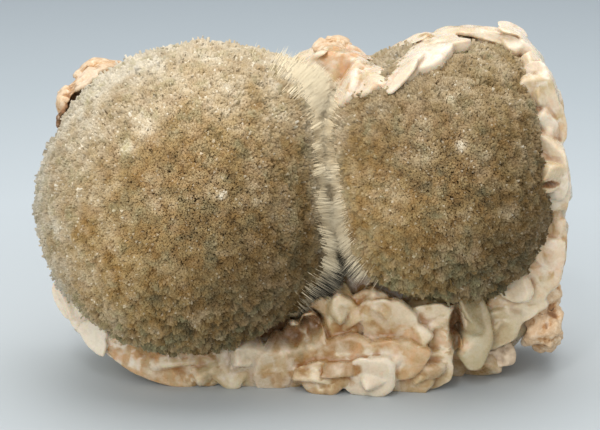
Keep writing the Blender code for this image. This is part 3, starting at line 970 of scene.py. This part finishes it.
def joined_mesh(first, second):
    """The meshes of two objects as one; the second object is used up."""
    bm = bmesh.new()
    bm.from_mesh(first.data)
    bm.from_mesh(second.data)
    mesh = bpy.data.meshes.new(first.name)
    bm.to_mesh(mesh)
    bm.free()
    bpy.data.objects.remove(second, do_unlink=True)
    return mesh


def apply_step(piece):
    """Make the result of a piece's one modifier its mesh."""
    bpy.context.view_layer.update()
    graph = bpy.context.evaluated_depsgraph_get()
    result = bpy.data.meshes.new_from_object(piece.evaluated_get(graph))
    piece.modifiers.clear()
    piece.data = result
    result.name = piece.name
    result.shade_smooth()


def even_mesh(piece, voxel_mm):
    step = piece.modifiers.new("even mesh", "REMESH")
    step.mode = "VOXEL"
    step.voxel_size = voxel_mm * MM
    apply_step(piece)


def thinned(piece, triangles):
    """Fewer faces where the surface is smooth, down to a number of triangles."""
    now = len(piece.data.loops) - 2 * len(piece.data.polygons)
    if now > triangles:
        step = piece.modifiers.new("thinner mesh", "DECIMATE")
        step.ratio = triangles / now
        step.use_collapse_triangulate = True
        apply_step(piece)


def vectors_of(piece, key):
    vectors = np.empty(len(piece.data.vertices) * 3, dtype=np.float32)
    piece.data.vertices.foreach_get(key, vectors)
    return vectors.reshape(-1, 3)


def points_of(piece):
    return vectors_of(piece, "co") / MM + ORIGIN


def move_points(piece, places):
    piece.data.vertices.foreach_set("co", in_frame(places).astype(np.float32).ravel())
    piece.data.update()


def normals_of(piece):
    return vectors_of(piece, "normal")


def save_values(piece, values):
    for key, value in values.items():
        layer = piece.data.attributes.new(key, "FLOAT", "POINT")
        layer.data.foreach_set("value", np.asarray(value, dtype=np.float32))


def hollows(piece, rounds):
    """Positive in creases and negative on edges, in millimetres: the smoothed surface's rise."""
    edges = np.empty(len(piece.data.edges) * 2, dtype=np.int32)
    piece.data.edges.foreach_get("vertices", edges)
    first, second = edges.reshape(-1, 2).T
    places = points_of(piece)
    count = len(places)
    links = np.bincount(first, minlength=count) + np.bincount(second, minlength=count)
    smoothed = places.copy()
    for _ in range(rounds):
        moved = np.empty_like(smoothed)
        for axis in range(3):
            total = np.bincount(first, smoothed[second, axis], minlength=count)
            total += np.bincount(second, smoothed[first, axis], minlength=count)
            moved[:, axis] = total / np.maximum(links, 1)
        smoothed = moved
    return np.sum((smoothed - places) * normals_of(piece), axis=1)


def roughen(piece, bumps, seed):
    """Push the points in and out by noise: (size, amount) in millimetres for each scale."""
    places = points_of(piece)
    push = np.zeros(len(places))
    for index, (size, amount) in enumerate(bumps):
        push += amount * value_noise(places, size, seed + index)
    push_out(piece, push)


def push_out(piece, push):
    """Move each point along its normal by its own amount, but not below the floor."""
    places = points_of(piece) + normals_of(piece) * push[:, None]
    places[:, 2] = np.maximum(places[:, 2], 0.0)
    move_points(piece, places)


def rock_piece(material):
    rock = packed_copy("rock_matrix", "rock")
    even_mesh(rock, BODY_VOXEL)
    roughen(rock, ROCK_BUMPS, seed=50)
    places = points_of(rock)
    bare = np.array([on_bare_rock(x, z) and y < BARE_ROCK_BACK for x, y, z in places])
    crumbs = 0.9 * value_noise(places, 2.4, 91) + 0.7 * value_noise(places, 1.5, 92)
    push_out(rock, np.where(bare, crumbs - 0.3, 0))
    press_rim(rock, KNOB_PRESS, above=KNOBS_ABOVE)
    thinned(rock, ROCK_TRIANGLES)
    save_values(rock, {"hollow": hollows(rock, 8)})
    rock.data.materials.append(material)
    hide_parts("rock_matrix")
    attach(rock, "root")


# Nodes of the materials


def new_material(name):
    made = bpy.data.materials.new(name)
    made.use_nodes = True
    return made, made.node_tree, made.node_tree.nodes["Principled BSDF"]


def feed(tree, node, inputs):
    """Set a node's inputs, each one a value or another node's output."""
    for key, value in inputs.items():
        if isinstance(value, bpy.types.NodeSocket):
            tree.links.new(value, node.inputs[key])
        else:
            node.inputs[key].default_value = value


def add(tree, kind, inputs=None, **settings):
    node = tree.nodes.new(kind)
    for key, value in settings.items():
        setattr(node, key, value)
    feed(tree, node, inputs or {})
    return node


def attribute(tree, name):
    return add(tree, "ShaderNodeAttribute", attribute_name=name).outputs["Fac"]


def place(tree):
    return add(tree, "ShaderNodeTexCoord").outputs["Object"]


def noise_value(tree, vector, size_mm, detail=3.0, roughness=0.55):
    inputs = {
        "Vector": vector,
        "Scale": 1000.0 / size_mm,
        "Detail": detail,
        "Roughness": roughness,
    }
    return add(tree, "ShaderNodeTexNoise", inputs).outputs["Fac"]


def remap(tree, value, low, high, to_low=0.0, to_high=1.0):
    inputs = {"Value": value, 1: low, 2: high, 3: to_low, 4: to_high}
    return add(tree, "ShaderNodeMapRange", inputs).outputs["Result"]


def mix(tree, factor, first, second, blend="MIX"):
    inputs = {0: factor, 6: first, 7: second}
    made = add(tree, "ShaderNodeMix", inputs, data_type="RGBA", blend_type=blend)
    return made.outputs[2]


def tinted(tree, colour, share, other):
    return mix(tree, share, colour, (*other, 1.0))


def layered(tree, colour, layers):
    """Lay colours over one in turn: each shows as its value goes from low to high."""
    for value, low, high, share, other in layers:
        colour = tinted(tree, colour, remap(tree, value, low, high, 0.0, share), other)
    return colour


def bump(tree, height, strength, distance):
    inputs = {"Strength": strength, "Distance": distance, "Height": height}
    return add(tree, "ShaderNodeBump", inputs).outputs["Normal"]


def maths(tree, operation, first, second):
    return add(tree, "ShaderNodeMath", {0: first, 1: second}, operation=operation).outputs[0]


def ramp(tree, value, stops):
    node = add(tree, "ShaderNodeValToRGB", {"Fac": value})
    elements = node.color_ramp.elements
    elements[0].position, elements[0].color = stops[0][0], (*stops[0][1], 1.0)
    elements[1].position, elements[1].color = stops[-1][0], (*stops[-1][1], 1.0)
    for position, colour in stops[1:-1]:
        elements.new(position).color = (*colour, 1.0)
    return node.outputs["Color"]


# Colours of a needle from its tip (0) to its root (1), darker towards the root: partly its own
# colour, partly painted shade down between the needles. The looks are laid over them in turn
NEEDLE_DEPTHS = (-1.0, 5.0)
NEEDLE_RAMP = (
    (0.0, (0.82, 0.56, 0.23)),
    (0.25, (0.76, 0.49, 0.18)),
    (0.55, (0.67, 0.40, 0.12)),
    (0.80, (0.54, 0.28, 0.07)),
    (1.0, (0.32, 0.15, 0.04)),
)
NEEDLE_LOOKS = {
    "warm": (
        (0.0, (0.76, 0.46, 0.16)),
        (0.25, (0.67, 0.38, 0.11)),
        (0.60, (0.55, 0.28, 0.07)),
        (1.0, (0.20, 0.07, 0.02)),
    ),
    "pale_and_painted_highlight": (
        (0.0, (0.86, 0.76, 0.59)),
        (0.30, (0.83, 0.71, 0.51)),
        (0.65, (0.74, 0.57, 0.35)),
        (1.0, (0.38, 0.23, 0.11)),
    ),
    "green": (
        (0.0, (0.62, 0.53, 0.28)),
        (0.30, (0.50, 0.41, 0.19)),
        (0.65, (0.34, 0.25, 0.10)),
        (1.0, (0.12, 0.08, 0.025)),
    ),
    "seam": (
        (0.0, (0.95, 0.82, 0.58)),
        (0.35, (0.92, 0.76, 0.51)),
        (0.65, (0.80, 0.58, 0.33)),
        (1.0, (0.46, 0.26, 0.11)),
    ),
}


def needle_material():
    made, tree, shader = new_material("thomsonite needles")
    # Darker towards the root: partly the needles' own colour, partly painted shade between them
    depth = remap(tree, attribute(tree, "depth"), *NEEDLE_DEPTHS)
    colour = ramp(tree, depth, NEEDLE_RAMP)
    for look, stops in NEEDLE_LOOKS.items():
        colour = mix(tree, attribute(tree, look), colour, ramp(tree, depth, stops))
    # Tone, which holds painted shade and painted glints, multiplies the colour
    tone_and_painted_light = ramp(tree, attribute(tree, "tone_and_painted_light"), ((0.0, (0, 0, 0)), (1.0, (1, 1, 1))))
    colour = mix(tree, 1.0, colour, tone_and_painted_light, "MULTIPLY")
    feed(tree, shader, {"Base Color": colour, "Roughness": 0.5, "Specular IOR Level": 0.3})
    return made


def root_material():
    made, tree, shader = new_material("needle roots")
    grain = noise_value(tree, place(tree), 0.8)
    colour = ramp(tree, grain, ((0.3, (0.30, 0.15, 0.05)), (0.7, (0.62, 0.38, 0.16))))
    feed(tree, shader, {"Base Color": colour, "Roughness": 0.8})
    return made


def stilbite_material():
    made, tree, shader = new_material("stilbite")
    at = place(tree)
    blotch = noise_value(tree, at, 4.5)
    fine = noise_value(tree, at, 0.8, 4.0)
    hollow = attribute(tree, "hollow")
    at_tip = maths(tree, "MULTIPLY", attribute(tree, "along"), 0.16)
    shade = maths(tree, "ADD", noise_value(tree, at, 9.0, 2.0), attribute(tree, "tint"))
    shade = maths(tree, "ADD", shade, at_tip)
    colour = ramp(tree, shade, (
        (0.40, (0.35, 0.19, 0.065)),
        (0.62, (0.43, 0.27, 0.115)),
        (0.85, (0.52, 0.375, 0.195)),
        (1.0, (0.63, 0.49, 0.30)),
    ))
    stain = noise_value(tree, at, 3.0, 4.0)
    # Paler ones, milky patches, stains, painted highlight on edges, painted shade in creases,
    # streaks and rusty specks
    colour = layered(tree, colour, (
        (shade, 0.95, 1.5, 0.8, (0.83, 0.73, 0.61)),
        (blotch, 0.48, 0.66, 0.55, (0.72, 0.61, 0.46)),
        (stain, 0.54, 0.70, 0.35, (0.50, 0.26, 0.10)),
        (hollow, -0.08, -0.35, 0.15, (0.84, 0.72, 0.54)),
        (hollow, 0.05, 0.40, 0.80, (0.33, 0.145, 0.045)),
        (attribute(tree, "ridges"), 0.1, 0.8, 0.30, (0.84, 0.73, 0.56)),
        (fine, 0.64, 0.82, 0.30, (0.50, 0.25, 0.10)),
    ))
    colour = tinted(tree, colour, attribute(tree, "green"), (0.36, 0.32, 0.19))
    colour = tinted(tree, colour, attribute(tree, "white"), (0.76, 0.67, 0.53))
    spots = remap(tree, noise_value(tree, at, 2.8, 4.0), 0.40, 0.64)
    orange = maths(tree, "MULTIPLY", attribute(tree, "orange"), spots)
    colour = tinted(tree, colour, orange, (0.62, 0.33, 0.14))
    # Painted shadow: crystals in the deep gaps painted dark brown
    gap = attribute(tree, "gap")
    colour = layered(tree, colour, ((gap, 0.2, 0.9, 0.75, (0.17, 0.08, 0.035)),))
    feed(tree, shader, {
        "Base Color": colour,
        "Subsurface Weight": 0.4,
        "Subsurface Radius": (1.0, 0.5, 0.25),
        "Subsurface Scale": 0.0014,
        "Roughness": remap(tree, fine, 0.3, 0.7, 0.18, 0.38),
        "Normal": bump(tree, fine, 0.25, 0.3 * MM),
    })
    return made


def rock_material():
    made, tree, shader = new_material("rock")
    at = place(tree)
    broad = noise_value(tree, at, 16.0, 4.0, 0.6)
    grain = noise_value(tree, at, 1.6, 6.0, 0.68)
    hollow = attribute(tree, "hollow")
    colour = ramp(tree, grain, (
        (0.32, (0.24, 0.10, 0.035)),
        (0.43, (0.48, 0.25, 0.10)),
        (0.52, (0.64, 0.40, 0.20)),
        (0.64, (0.82, 0.66, 0.48)),
    ))
    # Pale and rusty patches, edges and creases
    colour = layered(tree, colour, (
        (broad, 0.50, 0.64, 0.60, (0.74, 0.63, 0.50)),
        (broad, 0.48, 0.34, 0.55, (0.50, 0.22, 0.07)),
        (hollow, -0.05, -0.40, 0.45, (0.78, 0.62, 0.43)),
        (hollow, 0.08, 0.55, 0.75, (0.20, 0.09, 0.04)),
    ))
    relief = bump(tree, grain, 0.6, 0.6 * MM)
    feed(tree, shader, {"Base Color": colour, "Roughness": 0.7, "Normal": relief})
    return made


# Stage


def floor():
    bpy.ops.mesh.primitive_plane_add(size=FLOOR_SIZE)
    made = bpy.context.object
    made.name = "floor"
    material, tree, shader = new_material("floor")
    # Painted light on the floor: brightest some 0.2 m from the middle and darker further out, with
    # painted shade a little darker close to the object
    length = add(tree, "ShaderNodeVectorMath", {0: place(tree)}, operation="LENGTH")
    colour = ramp(tree, remap(tree, length.outputs["Value"], 0.0, 1.0), (
        (0.05, (0.46, 0.49, 0.50)),
        (0.20, (0.50, 0.54, 0.56)),
        (0.38, (0.43, 0.475, 0.50)),
        (0.75, (0.34, 0.38, 0.41)),
    ))
    feed(tree, shader, {"Base Color": colour, "Roughness": 0.6, "Specular IOR Level": 0.2})
    made.data.materials.append(material)


def aim(piece, place_mm, target_mm):
    piece.location = Vector(in_frame(place_mm))
    direction = Vector(in_frame(target_mm)) - piece.location
    piece.rotation_euler = direction.to_track_quat("-Z", "Y").to_euler()


def lights():
    for name, (place_mm, size, power) in LIGHTS.items():
        data = bpy.data.lights.new(name, "AREA")
        data.shape = "SQUARE"
        data.size = size
        data.energy = power
        aim(linked(name, data), place_mm, LIGHT_TARGET)
    world = bpy.data.worlds.new("soft room")
    world.use_nodes = True
    light = {"Color": WORLD_COLOUR, "Strength": WORLD_STRENGTH}
    feed(world.node_tree, world.node_tree.nodes["Background"], light)
    bpy.context.scene.world = world
    bpy.context.scene.view_settings.view_transform = "Standard"


def camera():
    data = bpy.data.cameras.new("camera")
    data.lens = CAMERA_LENS
    data.sensor_width = SENSOR_WIDTH
    made = linked("camera", data)
    aim(made, CAMERA_PLACE, CAMERA_TARGET)
    bpy.context.scene.camera = made


for existing in list(bpy.data.objects):
    bpy.data.objects.remove(existing, do_unlink=True)
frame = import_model()
needle_look, root_look = needle_material(), root_material()
for side in BALLS:
    ball_pieces(side, needle_look, root_look)
stilbite_piece(stilbite_material())
rock_piece(rock_material())
floor()
lights()
camera()
